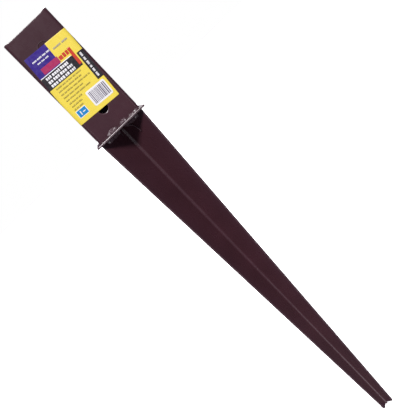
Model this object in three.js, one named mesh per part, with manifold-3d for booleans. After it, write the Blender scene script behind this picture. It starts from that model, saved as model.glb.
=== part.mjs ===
// Drive-in post anchor spike with a clamp-grip socket, for a 50 mm square timber post.
// Millimetres, +Z up. The origin is the post seat: the centre of the base plate's top face.
// The front of the socket faces -Y. Its two clamp ears stand out from the right rear corner, along +Y.

import * as THREE from 'three';
import { mergeVertices } from 'three/addons/utils/BufferGeometryUtils.js';
import Module from 'manifold-3d';

const wasm = await Module();
wasm.setup();

// ---- driving dimensions ----

const GAP = 0.3; // clearance kept between pieces that touch
const SHEET = 2; // thickness of the folded sheet
const BEND_STEPS = 6; // straight steps in each rounded corner
const ROUND_STEPS = 24; // facets around each turned piece

const POST = 50; // side of the square post
const SOCKET_INNER = POST + 1;
const SOCKET_OUTER = SOCKET_INNER + 2 * SHEET;
const SOCKET_HEIGHT = 127;
const SOCKET_BEND = 1.5; // inside radius of the socket's folds

const EAR_LENGTH = 22; // how far the clamp ears stand out from the rear wall
const EAR_GAP = 8; // between the ears before the clamp is tightened
const EAR_CORNER = 8; // radius of an ear's outer corners

const FIXING_HOLE_DIAMETER = 11;
const FIXING_HOLE_INSET = 24.5; // from the socket's top edge, and from the plate

const PLATE_SIDE = 65;
const PLATE_THICKNESS = 2.5;
const PLATE_CORNER = 2;

const SPIKE_BOTTOM = -473; // 600 mm below the socket's top edge
const SPIKE_TOP_HALF_WIDTH = 26.5; // seen square to the socket's front, just under the plate
const SPIKE_TIP_HALF_WIDTH = 6.8;
const SPIKE_BEND = 2; // inside radius of each blade's fold

const BOLT_HEIGHTS = { upper: 97, lower: 30 };
const BOLT_DIAMETER = 7.8; // M8, over the crests of the thread
const BOLT_LENGTH = 30; // under the head
const BOLT_CHAMFER = 1;
const BOLT_HEAD_DIAMETER = 20;
const BOLT_HEAD_HEIGHT = 4.2;
const BOLT_NECK_SIDE = 8;
const BOLT_NECK_LENGTH = 4.5;
const CLEARANCE_HOLE_DIAMETER = 9;
const WASHER_DIAMETER = 16;
const WASHER_THICKNESS = 1.6;
const NUT_ACROSS_FLATS = 13;
const NUT_HEIGHT = 6.5;
const NUT_CHAMFER = Math.PI / 6;
const FASTENER_BORE = 8.6; // through each washer and nut
const NUT_TURNS = { upper: 0.2, lower: 0.7 }; // how each nut's corners happen to lie, in radians

const WELD_LEG = 4;
const WELD_STEPS = 16; // facets around a full bead
const FRONT_BEADS = {
  left: { from: -16.5, to: -2.2, leg: WELD_LEG },
  middle: { from: 0, to: 10.5, leg: WELD_LEG },
  right: { from: 12, to: 24.5, leg: WELD_LEG / 2 },
};
const SIDE_BEAD = { length: 22, middle: 6, leg: 2.4 }; // middle: along Y, from the axis
const BLADE_BEAD = { length: 24, reach: 19, leg: WELD_LEG }; // reach: from the fold to its middle
const STITCH = { length: 26, leg: 3.2, heights: [-42, -160, -285, -410] };
const TIP_WELD_RADIUS = 2;
const TIP_WELD_HEIGHT = 2;

const LABEL_WIDTH = 50;
const LABEL_HEIGHT = 80;
const LABEL_THICKNESS = 0.2;
const LABEL_CENTRE = { x: -0.6, z: 64.7 };
const LABEL_TURN = THREE.MathUtils.degToRad(4); // it was stuck on a little askew

// ---- materials ----

const paint = new THREE.MeshStandardMaterial({ color: 0x4a2f37, roughness: 0.42, metalness: 0.1 });
const weldPaint = new THREE.MeshStandardMaterial({ color: 0x6a5058, roughness: 0.3, metalness: 0.2 });
const zinc = new THREE.MeshStandardMaterial({ color: 0xb9bcc0, roughness: 0.35, metalness: 0.9 });
const vinyl = new THREE.MeshStandardMaterial({ color: 0xf4d84a, roughness: 0.3, metalness: 0 });

// ---- solids ----

const X = new THREE.Vector3(1, 0, 0);
const Y = new THREE.Vector3(0, 1, 0);
const Z = new THREE.Vector3(0, 0, 1);
const QUARTER = Math.PI / 2;
const FAR = 100; // reaches past the socket and the spike on every side

// A three.js geometry as a solid that can be cut and joined.
function toSolid(geometry) {
  const bare = geometry.clone();
  bare.deleteAttribute('normal');
  bare.deleteAttribute('uv');
  const merged = mergeVertices(bare);
  const corners = merged.index.array;
  const triangles = [];
  for (let i = 0; i < corners.length; i += 3) {
    const [a, b, c] = corners.slice(i, i + 3);
    if (a !== b && b !== c && c !== a) triangles.push(a, b, c);
  }
  return new wasm.Manifold(new wasm.Mesh({
    numProp: 3,
    vertProperties: Float32Array.from(merged.attributes.position.array),
    triVerts: Uint32Array.from(triangles),
  }));
}

function toGeometry(solid) {
  const { vertProperties, triVerts } = solid.getMesh();
  const geometry = new THREE.BufferGeometry();
  geometry.setAttribute('position', new THREE.BufferAttribute(vertProperties, 3));
  geometry.setIndex(new THREE.BufferAttribute(triVerts, 1));
  geometry.computeVertexNormals();
  return geometry;
}

function subtract(solid, ...geometries) {
  return geometries.reduce((left, geometry) => left.subtract(toSolid(geometry)), solid);
}

// A shape extruded equally both ways from its own plane. The shape's axes lie along u and v.
function slab(shape, depth, u, v) {
  const geometry = new THREE.ExtrudeGeometry(shape, { depth, bevelEnabled: false });
  geometry.translate(0, 0, -depth / 2);
  const w = new THREE.Vector3().crossVectors(u, v);
  return geometry.applyMatrix4(new THREE.Matrix4().makeBasis(u, v, w));
}

function polygon(points) {
  return new THREE.Shape(points.map(([x, y]) => new THREE.Vector2(x, y)));
}

// The corner radii run anticlockwise from the lower left.
function roundedRectangle([left, bottom], [right, top], radii) {
  const corners = [[left, bottom, 1, 1], [right, bottom, -1, 1], [right, top, -1, -1], [left, top, 1, -1]];
  return new THREE.Shape(corners.flatMap(([x, y, inX, inY], i) => {
    const radius = radii[i];
    if (radius === 0) return [new THREE.Vector2(x, y)];
    const from = Math.PI + i * QUARTER;
    const [centreX, centreY] = [x + inX * radius, y + inY * radius];
    const arc = new THREE.EllipseCurve(centreX, centreY, radius, radius, from, from + QUARTER);
    return arc.getPoints(BEND_STEPS);
  }));
}

function rodAlongX(diameter, length) {
  const radius = diameter / 2;
  return new THREE.CylinderGeometry(radius, radius, length, ROUND_STEPS).rotateZ(QUARTER);
}

// One face of a folded sheet: the points to the left of a run of corners on its middle surface.
function leftFace(run, insideRadius) {
  const middleRadius = insideRadius + SHEET / 2;
  const heading = (i) => run[i + 1].clone().sub(run[i]).normalize();
  const leftOf = (direction) => new THREE.Vector2(-direction.y, direction.x);
  const beside = (i, direction) => run[i].clone().addScaledVector(leftOf(direction), SHEET / 2);
  const last = run.length - 1;
  const folds = run.slice(1, last).flatMap((corner, i) => {
    const [before, after] = [heading(i), heading(i + 1)];
    const turn = Math.sign(before.cross(after)); // +1 where the fold turns left
    const setback = middleRadius * Math.tan(Math.acos(before.dot(after)) / 2);
    const centre = corner.clone().addScaledVector(before, -setback);
    centre.addScaledVector(leftOf(before), turn * middleRadius);
    const radius = middleRadius - (turn * SHEET) / 2;
    const [from, to] = [before, after].map((way) => leftOf(way).multiplyScalar(-turn).angle());
    const arc = new THREE.EllipseCurve(centre.x, centre.y, radius, radius, from, to, turn < 0);
    return arc.getPoints(BEND_STEPS);
  });
  return [beside(0, heading(0)), ...folds, beside(last, heading(last - 1))];
}

// The cross-section of a sheet folded at each inner corner of a run.
function foldedSheet(corners, insideRadius) {
  const run = corners.map(([x, y]) => new THREE.Vector2(x, y));
  return new THREE.Shape([...leftFace(run, insideRadius), ...leftFace([...run].reverse(), insideRadius)]);
}

// ---- socket and plate ----

const wallFace = SOCKET_OUTER / 2; // outer face of each wall, from the axis
const earEnd = wallFace + EAR_LENGTH;
const nutEarFace = wallFace - 2 * SHEET - EAR_GAP; // the side of the inner ear that its nuts pull on
const boltAxisY = wallFace + EAR_LENGTH / 2;

// The right wall runs straight on as one ear, and the end of the rear wall is folded out as the other.
function socketSleeve() {
  const wall = (SOCKET_INNER + SHEET) / 2;
  const ear = nutEarFace + SHEET / 2;
  const section = foldedSheet([
    [ear, earEnd], [ear, wall], [-wall, wall],
    [-wall, -wall], [wall, -wall], [wall, earEnd],
  ], SOCKET_BEND);
  const tube = slab(section, 2 * SOCKET_HEIGHT, X, Y);
  const sideView = roundedRectangle([-FAR, GAP], [earEnd, SOCKET_HEIGHT], [0, EAR_CORNER, EAR_CORNER, 0]);
  const sleeve = toSolid(tube).intersect(toSolid(slab(sideView, FAR, Y, Z)));

  const throughSheet = 3 * SHEET;
  const fixingRadius = FIXING_HOLE_DIAMETER / 2;
  const fixingHoles = [FIXING_HOLE_INSET, SOCKET_HEIGHT - FIXING_HOLE_INSET].map((z) => {
    const drill = new THREE.CylinderGeometry(fixingRadius, fixingRadius, throughSheet, ROUND_STEPS);
    return drill.translate(0, -wallFace, z);
  });
  const squareSide = BOLT_NECK_SIDE + 2 * GAP;
  const boltHoles = Object.values(BOLT_HEIGHTS).flatMap((z) => [
    new THREE.BoxGeometry(throughSheet, squareSide, squareSide).translate(wallFace, boltAxisY, z),
    rodAlongX(CLEARANCE_HOLE_DIAMETER, throughSheet).translate(nutEarFace, boltAxisY, z),
  ]);
  return toGeometry(subtract(sleeve, ...fixingHoles, ...boltHoles));
}

// The top face is divided along the foot of the post, so that the seat is a face of its own.
function basePlate() {
  const half = PLATE_SIDE / 2;
  const foot = POST / 2;
  const outline = roundedRectangle([-half, -half], [half, half], Array(4).fill(PLATE_CORNER)).getPoints();
  const seat = polygon([[-foot, -foot], [-foot, foot], [foot, foot], [foot, -foot]]).getPoints();
  const count = outline.length;
  const below = count + seat.length; // the first corner of the underside
  const corners = [
    ...[...outline, ...seat].map(({ x, y }) => [x, y, 0]),
    ...outline.map(({ x, y }) => [x, y, -PLATE_THICKNESS]),
  ];
  const ledge = THREE.ShapeUtils.triangulateShape(outline, [seat]);
  const seatFace = [[0, 2, 1], [0, 3, 2]].map((face) => face.map((i) => count + i));
  const underside = THREE.ShapeUtils.triangulateShape(outline, [])
    .map(([a, b, c]) => [below + c, below + b, below + a]);
  const edge = outline.flatMap((_, i) => {
    const next = (i + 1) % count;
    return [[i, below + i, below + next], [i, below + next, next]];
  });
  const geometry = new THREE.BufferGeometry();
  geometry.setAttribute('position', new THREE.Float32BufferAttribute(corners.flat(), 3));
  geometry.setIndex([...ledge, ...seatFace, ...underside, ...edge].flat());
  geometry.computeVertexNormals();
  return geometry;
}

// ---- spike ----

const spikeTop = -PLATE_THICKNESS - GAP;

// Where the two fins of the front blade would meet if its fold were sharp, along Y: on its middle
// surface, on its inside faces and on its outside faces. The rounded fold stops just short of the axis.
const foldMiddle = (SPIKE_BEND + SHEET / 2) * Math.SQRT2 - (SPIKE_BEND + SHEET) - GAP / 2;
const foldInside = foldMiddle - SHEET / Math.SQRT2;
const foldOutside = foldMiddle + SHEET / Math.SQRT2;

// A tapered strip folded square along its middle, with a fin towards each front corner of the plate.
function blade() {
  const finEnd = foldMiddle - FAR;
  const section = foldedSheet([[-FAR, finEnd], [0, foldMiddle], [FAR, finEnd]], SPIKE_BEND);
  const strip = toSolid(slab(section, 3 * -SPIKE_BOTTOM, X, Y));
  const topReach = SPIKE_TOP_HALF_WIDTH * Math.SQRT2;
  const tipReach = SPIKE_TIP_HALF_WIDTH * Math.SQRT2;
  const taper = polygon([
    [-FAR, SPIKE_BOTTOM], [tipReach, SPIKE_BOTTOM], [topReach, spikeTop], [-FAR, spikeTop],
  ]);
  const fins = [1, -1].map((side) => new THREE.Vector3(side, -1, 0).normalize());
  const limits = fins.map((outward) => toSolid(slab(taper, 2 * FAR, outward, Z)));
  return toGeometry(limits.reduce((left, limit) => left.intersect(limit), strip));
}

function tipWeld() {
  const dome = new THREE.EllipseCurve(0, 0, TIP_WELD_RADIUS, TIP_WELD_HEIGHT, -QUARTER, 0);
  const profile = [...dome.getPoints(BEND_STEPS), new THREE.Vector2(0, 0)];
  profile[0].x = 0;
  return toGeometry(toSolid(new THREE.LatheGeometry(profile, ROUND_STEPS).rotateX(QUARTER)));
}

// ---- weld beads ----

// A bead in a square corner. The corner runs along X and the bead fills its +Y and +Z side.
function cornerBead(length, leg) {
  const rod = new THREE.CapsuleGeometry(leg, length - 2 * leg, WELD_STEPS / 4, WELD_STEPS).rotateZ(QUARTER);
  const corner = new THREE.BoxGeometry(FAR, FAR, FAR).translate(0, FAR / 2 + GAP, FAR / 2 + GAP);
  return toGeometry(toSolid(rod).intersect(toSolid(corner)));
}

// ---- fasteners, each along +X from the face it bears on ----

function coachBolt() {
  const headRadius = BOLT_HEAD_DIAMETER / 2;
  const crown = (headRadius ** 2 + BOLT_HEAD_HEIGHT ** 2) / (2 * BOLT_HEAD_HEIGHT);
  const rimAngle = Math.asin(headRadius / crown) - QUARTER;
  const dome = new THREE.EllipseCurve(0, crown - BOLT_HEAD_HEIGHT, crown, crown, -QUARTER, rimAngle);
  const radius = BOLT_DIAMETER / 2;
  const shank = [
    [radius, 0],
    [radius, BOLT_LENGTH - BOLT_CHAMFER],
    [radius - BOLT_CHAMFER, BOLT_LENGTH],
    [0, BOLT_LENGTH],
  ];
  const outline = [...dome.getPoints(BEND_STEPS), ...shank.map(([r, h]) => new THREE.Vector2(r, h))];
  outline[0].x = 0;
  const intoHead = 1;
  const neck = new THREE.BoxGeometry(BOLT_NECK_SIDE, BOLT_NECK_LENGTH + intoHead, BOLT_NECK_SIDE);
  neck.translate(0, (BOLT_NECK_LENGTH - intoHead) / 2, 0);
  const bolt = toSolid(new THREE.LatheGeometry(outline, ROUND_STEPS)).add(toSolid(neck));
  return toGeometry(bolt).rotateZ(-QUARTER);
}

function washer() {
  const disc = toSolid(rodAlongX(WASHER_DIAMETER, WASHER_THICKNESS));
  const ring = subtract(disc, rodAlongX(FASTENER_BORE, 2 * WASHER_THICKNESS));
  return toGeometry(ring).translate(WASHER_THICKNESS / 2, 0, 0);
}

function hexNut() {
  const flat = NUT_ACROSS_FLATS / 2;
  const corner = NUT_ACROSS_FLATS / Math.sqrt(3);
  const hexagon = polygon(Array.from({ length: 6 }, (_, i) => {
    const angle = (i * Math.PI) / 3;
    return [corner * Math.cos(angle), corner * Math.sin(angle)];
  }));
  const half = NUT_HEIGHT / 2;
  const shoulder = half - (corner - flat) * Math.tan(NUT_CHAMFER);
  const outline = [
    [0, -half], [flat, -half], [corner, -shoulder],
    [corner, shoulder], [flat, half], [0, half],
  ];
  const turned = new THREE.LatheGeometry(outline.map(([r, h]) => new THREE.Vector2(r, h)), ROUND_STEPS);
  const blank = toSolid(slab(hexagon, NUT_HEIGHT, Y, Z)).intersect(toSolid(turned.rotateZ(-QUARTER)));
  return toGeometry(subtract(blank, rodAlongX(FASTENER_BORE, 2 * NUT_HEIGHT))).translate(half, 0, 0);
}

// ---- assembly ----

const group = new THREE.Group();

function part(name, geometry, material, position = [0, 0, 0]) {
  const mesh = new THREE.Mesh(geometry, material);
  mesh.name = name;
  mesh.position.set(...position);
  group.add(mesh);
  return mesh;
}

// A bead whose corner passes through a place, with its two legs along given directions.
function bead(name, { length, leg }, place, legA, legB) {
  const mesh = part(name, cornerBead(length, leg), weldPaint, place);
  const along = new THREE.Vector3().crossVectors(legA, legB);
  mesh.quaternion.setFromRotationMatrix(new THREE.Matrix4().makeBasis(along, legA, legB));
}

part('socket_sleeve', socketSleeve(), paint);
part('base_plate', basePlate(), paint);
part('front_blade', blade(), paint);
part('rear_blade', blade(), paint).rotation.z = Math.PI;
part('tip_weld', tipWeld(), weldPaint, [0, 0, SPIKE_BOTTOM - GAP]);

const sides = { left: X.clone().negate(), right: X };
const ends = { front: Y.clone().negate(), rear: Y };

for (const [place, { from, to, leg }] of Object.entries(FRONT_BEADS)) {
  bead(`front_weld_${place}`, { length: to - from, leg }, [(from + to) / 2, -wallFace, 0], Z, ends.front);
}
for (const [side, outward] of Object.entries(sides)) {
  bead(`${side}_side_weld`, SIDE_BEAD, [outward.x * wallFace, SIDE_BEAD.middle, 0], Z, outward);
}

// Inside each blade's fold, under the plate, along both fins.
for (const [end, forward] of Object.entries(ends)) {
  for (const [side, outward] of Object.entries(sides)) {
    const fin = outward.clone().add(forward).normalize();
    const place = fin.clone().multiplyScalar(BLADE_BEAD.reach).addScaledVector(forward, -foldInside);
    place.z = -PLATE_THICKNESS;
    const intoFold = forward.clone().sub(outward).normalize();
    bead(`blade_weld_${end}_${side}`, BLADE_BEAD, place.toArray(), Z.clone().negate(), intoFold);
  }
}

// Stitches that join the two blades back to back, down both sides of the spike.
for (const [side, outward] of Object.entries(sides)) {
  const legs = Object.values(ends).map((forward) => outward.clone().add(forward).normalize());
  STITCH.heights.forEach((z, i) => {
    const name = `spine_weld_${side}_${i + 1}`;
    bead(name, STITCH, [outward.x * foldOutside, 0, z], ...legs);
  });
}

// The bolts point along -X, so each fastener is turned half round.
for (const [level, z] of Object.entries(BOLT_HEIGHTS)) {
  const washerFace = nutEarFace - GAP;
  const nutFace = washerFace - WASHER_THICKNESS - GAP;
  const bolt = part(`${level}_clamp_bolt`, coachBolt(), zinc, [wallFace + GAP, boltAxisY, z]);
  const ring = part(`${level}_washer`, washer(), zinc, [washerFace, boltAxisY, z]);
  const nut = part(`${level}_nut`, hexNut(), zinc, [nutFace, boltAxisY, z]);
  for (const fastener of [bolt, ring, nut]) fastener.rotation.z = Math.PI;
  nut.rotation.x = NUT_TURNS[level];
}

const labelFace = -wallFace - GAP - LABEL_THICKNESS / 2;
const label = new THREE.BoxGeometry(LABEL_WIDTH, LABEL_THICKNESS, LABEL_HEIGHT);
part('product_label', label, vinyl, [LABEL_CENTRE.x, labelFace, LABEL_CENTRE.z]).rotation.y = LABEL_TURN;

export default group;
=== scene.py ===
import math
import random

import bmesh
import bpy
from mathutils import Matrix, Vector, noise
from mathutils.geometry import delaunay_2d_cdt

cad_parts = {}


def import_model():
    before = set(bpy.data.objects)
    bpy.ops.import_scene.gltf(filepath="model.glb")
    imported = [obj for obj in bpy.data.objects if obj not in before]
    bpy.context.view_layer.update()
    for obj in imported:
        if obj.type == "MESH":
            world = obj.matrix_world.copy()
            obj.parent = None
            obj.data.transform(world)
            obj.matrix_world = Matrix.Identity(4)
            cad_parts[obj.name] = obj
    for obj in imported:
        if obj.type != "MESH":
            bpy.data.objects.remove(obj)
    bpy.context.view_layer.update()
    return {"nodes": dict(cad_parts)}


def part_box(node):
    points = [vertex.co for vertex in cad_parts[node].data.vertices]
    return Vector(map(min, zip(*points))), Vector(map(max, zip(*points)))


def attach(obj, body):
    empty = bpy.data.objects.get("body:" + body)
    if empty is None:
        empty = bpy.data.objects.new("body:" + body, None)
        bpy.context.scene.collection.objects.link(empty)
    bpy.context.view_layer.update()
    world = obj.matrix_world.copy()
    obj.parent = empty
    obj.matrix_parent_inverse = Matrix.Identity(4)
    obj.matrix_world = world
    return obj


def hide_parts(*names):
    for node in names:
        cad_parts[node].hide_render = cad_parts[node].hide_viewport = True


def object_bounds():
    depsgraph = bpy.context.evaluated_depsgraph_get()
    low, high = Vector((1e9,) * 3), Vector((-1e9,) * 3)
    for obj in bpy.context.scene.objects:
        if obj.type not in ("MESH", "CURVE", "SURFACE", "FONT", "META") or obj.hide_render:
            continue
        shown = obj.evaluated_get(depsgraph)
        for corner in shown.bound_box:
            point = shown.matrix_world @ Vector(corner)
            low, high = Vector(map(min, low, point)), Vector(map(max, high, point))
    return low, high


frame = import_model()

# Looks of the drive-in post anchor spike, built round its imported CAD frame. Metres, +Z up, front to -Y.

MM = 0.001
X = Vector((1, 0, 0))
Y = Vector((0, 1, 0))
Z = Vector((0, 0, 1))
QUARTER = math.pi / 2


def middle_of(node):
    low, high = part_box(node)
    return (low + high) / 2


# ---- driving dimensions ----

SHEET = 2 * MM                    # thickness of the folded sheet
SLEEVE_BEND = 2.5 * MM            # radius of the socket's folds, on the middle of the sheet
BLADE_BEND = 3.8 * MM             # the same for the fold of each blade
EAR_GAP = 8 * MM                  # between the clamp ears
EAR_CORNER = 8 * MM
FIXING_HOLE_RADIUS = 5.5 * MM
FIXING_HOLE_INSET = 24.5 * MM     # from the socket's top edge, and from the plate
NECK_HOLE_SIDE = 8.6 * MM         # square hole for the coach bolts' necks
NECK_HOLE_CORNER = 0.8 * MM
CLEARANCE_HOLE_RADIUS = 4.5 * MM
TOP_CORNER_LIFT = 0.9 * MM        # how far each fold's end stands up from the socket's top edge
LIFT_REACH = 4 * MM
LIFT_FADE = 4                     # power by which that lift dies away down the fold
BLADE_CORNER = 1 * MM             # radius of a blade's sharp corners
PLATE_CORNER = 2 * MM

SAME = 0.001 * MM                 # points closer than this are one point
MERGED = 1e-9                     # the same where triangles are laid between outlines
SLIVER = 4e-7                     # a triangle lower than this only spans points that lie in line
TINY = 0.05 * MM                  # radius left where an outline is moved in past the centre of a corner
RIM_RADIUS = 0.35 * MM            # rounding of a cut edge under its paint
HOLE_RIM_RADIUS = 0.8 * MM
RIM_SHARE = 0.45                  # most of a sheet's thickness that a hole's rounding takes
PLATE_RIM = 1.0 * MM              # the plate is thicker, and its sheared edge rounder
WEAR_REACH = 1.3 * MM             # how far in from an edge its wear fades out
RIM_WEAR = 0.6                    # wear where an edge's rounding begins. It is 1 at the outermost
ARC_STEPS = 8
RIM_STEPS = 4
FOLD_STEPS = 10
FOLD_MARGIN = 1.0 * MM            # keeps the shading of a bend off the flats beside it
HOLE_STEPS = 48

THREAD_PITCH = 1.25 * MM
THREAD_CREST = 3.95 * MM
THREAD_ROOT = 3.3 * MM
THREAD_FLAT = 0.12                # share of the pitch that is flat at a crest, and again at a root
THREAD_STEPS = 10                 # rings along each turn
NUT_CREST = 4.02 * MM             # clears the bolt's crests
NUT_ROOT = 4.35 * MM
TURN_STEPS = 72                   # points around each turned piece
CAD_GAP = 0.3 * MM                # between CAD pieces that touch in the real object
CREASE = math.radians(38)         # a turned piece's edges that turn more are sharp
FLAT_WEIGHT = 100                 # the most there is, in favour of large faces

_, sleeve_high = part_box("socket_sleeve")
_, blade_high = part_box("front_blade")
plate_low, plate_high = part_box("base_plate")
wall_face = sleeve_high.x                 # outer face of each wall, from the axis
wall = wall_face - SHEET / 2              # middle of each wall
nut_ear = wall - EAR_GAP - SHEET          # middle of the ear folded out of the rear wall
socket_top = sleeve_high.z
bolt_axes = {level: middle_of(f"{level}_washer") for level in ("upper", "lower")}


# ---- meshes ----

def finished(name, shape_of, body, material, wear=None):
    """A new piece made of (vertices, faces), riding on a body."""
    verts, faces = shape_of
    mesh = bpy.data.meshes.new(name)
    mesh.from_pydata([tuple(v) for v in verts], [], faces)
    mesh.materials.append(material)
    shape = bmesh.new()
    shape.from_mesh(mesh)
    bmesh.ops.recalc_face_normals(shape, faces=shape.faces)
    shape.to_mesh(mesh)
    shape.free()
    if wear is not None:
        mesh.attributes.new("wear", "FLOAT", "POINT").data.foreach_set("value", wear)
    mesh.shade_smooth()
    piece = bpy.data.objects.new(f"{name}_finished", mesh)
    bpy.context.scene.collection.objects.link(piece)
    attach(piece, body)
    return piece


def keep_flats_flat(piece):
    """Shades each large flat face as flat, and only the narrow faces round it as rounded."""
    modifier = piece.modifiers.new("flats", "WEIGHTED_NORMAL")
    modifier.weight = FLAT_WEIGHT
    modifier.keep_sharp = True


def crisp(piece):
    piece.data.set_sharp_from_angle(angle=CREASE)


# ---- sheet metal ----

def folded(start, right, left):
    """Places points on a folded sheet, by the distance u along its middle line and the height h off it.

    The line runs both ways from u = 0, where it lies along X. Its stretches on the right are
    (length, turn) each, straight or evenly bent to the left by turn. Those on the left are given as
    their mirror image. A positive h lies on the outside of the first fold."""
    def along(angle, length, turn):
        if turn == 0:
            return Vector((math.cos(angle), math.sin(angle))) * length
        end = angle + turn
        bend = Vector((math.sin(end) - math.sin(angle), math.cos(angle) - math.cos(end)))
        return bend * length / turn

    def marks(stretches):
        found = []
        point, angle, passed = Vector(start), 0.0, 0.0
        for length, turn in stretches:
            found.append((passed, point, angle, length, turn))
            point = point + along(angle, length, turn)
            angle += turn
            passed += length
        return found

    right_marks, left_marks = marks(right), marks(left)

    def place(u, z, h):
        distance = abs(u)
        side, side_marks = (1, right_marks) if u >= 0 else (-1, left_marks)
        begun, origin, heading, length, turn = [m for m in side_marks if m[0] <= distance][-1]
        turned = turn * (distance - begun) / length
        at = origin + along(heading, distance - begun, turned)
        at += Vector((math.sin(heading + turned), -math.cos(heading + turned))) * h
        return Vector((side * at.x, at.y, z))

    return place


def loop(corners, radius):
    """An anticlockwise outline with rounded corners, by how far its edges are moved inwards."""
    corners = [Vector(c) for c in corners]

    def at(inset):
        points = []
        for i, corner in enumerate(corners):
            before = (corner - corners[i - 1]).normalized()
            after = (corners[(i + 1) % len(corners)] - corner).normalized()
            turn = math.atan2(before.cross(after), before.dot(after))
            left = Vector((-before.y, before.x))
            full = max(radius, inset + TINY)
            centre = corner - before * full * math.tan(turn / 2) + left * full
            for step in range(ARC_STEPS + 1):
                spoke = -left
                spoke.rotate(Matrix.Rotation(turn * step / ARC_STEPS, 2))
                points.append(centre + spoke * (full - inset))
        return points

    return at


def with_ticks(outline, ticks):
    """The outline with a point at each tick along its level edges, so that it can fold there."""
    def at(inset):
        points = outline(inset)
        found = []
        for point, following in zip(points, points[1:] + points[:1]):
            found.append(point)
            if abs(point.y - following.y) < SAME:
                low, high = sorted((point.x, following.x))
                inner = [t for t in ticks if low < t < high]
                if following.x < point.x:
                    inner.reverse()
                found += [Vector((t, point.y)) for t in inner]
        return found

    return at


def circle(centre, radius):
    """A round hole: moving its edge inwards, into the sheet, widens it."""
    def at(inset):
        angles = [2 * math.pi * i / HOLE_STEPS for i in range(HOLE_STEPS)]
        return [Vector(centre) + Vector((math.cos(a), math.sin(a))) * (radius + inset) for a in angles]

    return at


def square(half):
    return [Vector((x * half, y * half)) for x, y in ((-1, -1), (1, -1), (1, 1), (-1, 1))]


def square_hole(centre, side, corner):
    grow = loop([Vector(centre) + c for c in square(side / 2)], corner)
    return lambda inset: grow(-inset)


def inside(point, points):
    """Whether a point lies inside a closed run of points."""
    crossings = 0
    for a, b in zip(points, points[1:] + points[:1]):
        if (a.y > point.y) != (b.y > point.y):
            crossings += point.x < a.x + (b.x - a.x) * (point.y - a.y) / (b.y - a.y)
    return crossings % 2 == 1


def fill(loops, ticks):
    """Triangles between an outline and its holes, with an edge across the sheet at every tick."""
    points = [p for points in loops for p in points]
    edges = []
    first = 0
    for ring in loops:
        edges += [(first + i, first + (i + 1) % len(ring)) for i in range(len(ring))]
        first += len(ring)
    for tick in ticks:
        ends = [i for i, p in enumerate(loops[0]) if abs(p.x - tick) < SAME]
        edges.append((ends[0], ends[-1]))
    whole_hull = 0
    flat, _, triangles, source, _, _ = delaunay_2d_cdt(points, edges, [], whole_hull, MERGED)
    kept = []
    for triangle in triangles:
        a, b, c = (flat[i] for i in triangle)
        longest = max((b - a).length, (c - b).length, (a - c).length)
        if abs((b - a).cross(c - a)) < SLIVER * longest:
            continue
        centre = (a + b + c) / 3
        if inside(centre, loops[0]) and not any(inside(centre, hole) for hole in loops[1:]):
            kept.append([source[i][0] for i in triangle])
    return kept


def rim_profile(thickness, radius, reach):
    """(inset, height, wear) over a sheet's edge, from its front face round to its back face."""
    front = [(radius + reach, thickness / 2, 0.0)]
    for step in range(RIM_STEPS + 1):
        angle = QUARTER * step / RIM_STEPS
        height = thickness / 2 - radius * (1 - math.cos(angle))
        wear = RIM_WEAR + (1 - RIM_WEAR) * step / RIM_STEPS
        front.append((radius * (1 - math.sin(angle)), height, wear))
    return front + [(inset, -height, wear) for inset, height, wear in reversed(front)]


def punched_sheet(outline, holes, place, ticks=(), thickness=SHEET,
                  rim=RIM_RADIUS, hole_rim=HOLE_RIM_RADIUS, reach=WEAR_REACH):
    """A closed sheet with rounded edges and its wear at each point.

    place puts each (u, z, height) where the sheet's folds take it."""
    if ticks:
        outline = with_ticks(outline, ticks)
    edge = rim_profile(thickness, rim, reach)
    hole_edge = rim_profile(thickness, min(hole_rim, RIM_SHARE * thickness), reach / 2)
    verts, wear, starts, flats = [], [], [], []
    for outer, inner in zip(edge, hole_edge):
        row = []
        rings = [outline(outer[0])] + [hole(inner[0]) for hole in holes]
        for (_, height, amount), ring in zip([outer] + [inner] * len(holes), rings):
            row.append((len(verts), len(ring)))
            verts += [place(p.x, p.y, height) for p in ring]
            wear += [amount] * len(ring)
        starts.append(row)
        flats.append(rings)
    faces = []
    for upper, lower in zip(starts, starts[1:]):
        for (a, count), (b, _) in zip(upper, lower):
            for i in range(count):
                j = (i + 1) % count
                faces.append((a + i, a + j, b + j, b + i))
    front = fill(flats[0], ticks)
    back = starts[-1][0][0]
    faces += [tuple(t) for t in front] + [tuple(back + i for i in reversed(t)) for t in front]
    return (verts, faces), wear


def fold_ticks(right, left):
    """Where along u a folded sheet needs points: through every bend, and on the flat just beside it."""
    ticks = []
    for side, stretches in ((1, right), (-1, left)):
        passed = 0.0
        for length, turn in stretches:
            if turn:
                ticks += [side * (passed + length * i / FOLD_STEPS) for i in range(FOLD_STEPS + 1)]
                ticks.append(side * (passed + length + FOLD_MARGIN))
                if passed:
                    ticks.append(side * (passed - FOLD_MARGIN))
            passed += length
    return sorted(set(ticks))


def run_length(stretches):
    return sum(length for length, _ in stretches)


# ---- lofted skins ----

def skin(rings, first=None, last=None, ring_shaped=False):
    """Faces between rings of equal length, closed by an apex at either end, or end to end."""
    verts = [p for ring in rings for p in ring]
    count = len(rings[0])
    faces = []
    pairs = list(zip(range(len(rings)), range(1, len(rings))))
    if ring_shaped:
        pairs.append((len(rings) - 1, 0))
    for a, b in pairs:
        for i in range(count):
            j = (i + 1) % count
            faces.append((a * count + i, a * count + j, b * count + j, b * count + i))
    for apex, ring in ((first, 0), (last, len(rings) - 1)):
        if apex is not None:
            verts.append(apex)
            start, tip = ring * count, len(verts) - 1
            faces += [(start + i, start + (i + 1) % count, tip) for i in range(count)]
    return verts, faces


def joined(*shells):
    """Several closed shells as the vertices and faces of one piece."""
    verts, faces = [], []
    for shell_verts, shell_faces in shells:
        faces += [tuple(len(verts) + i for i in face) for face in shell_faces]
        verts += shell_verts
    return verts, faces


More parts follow.
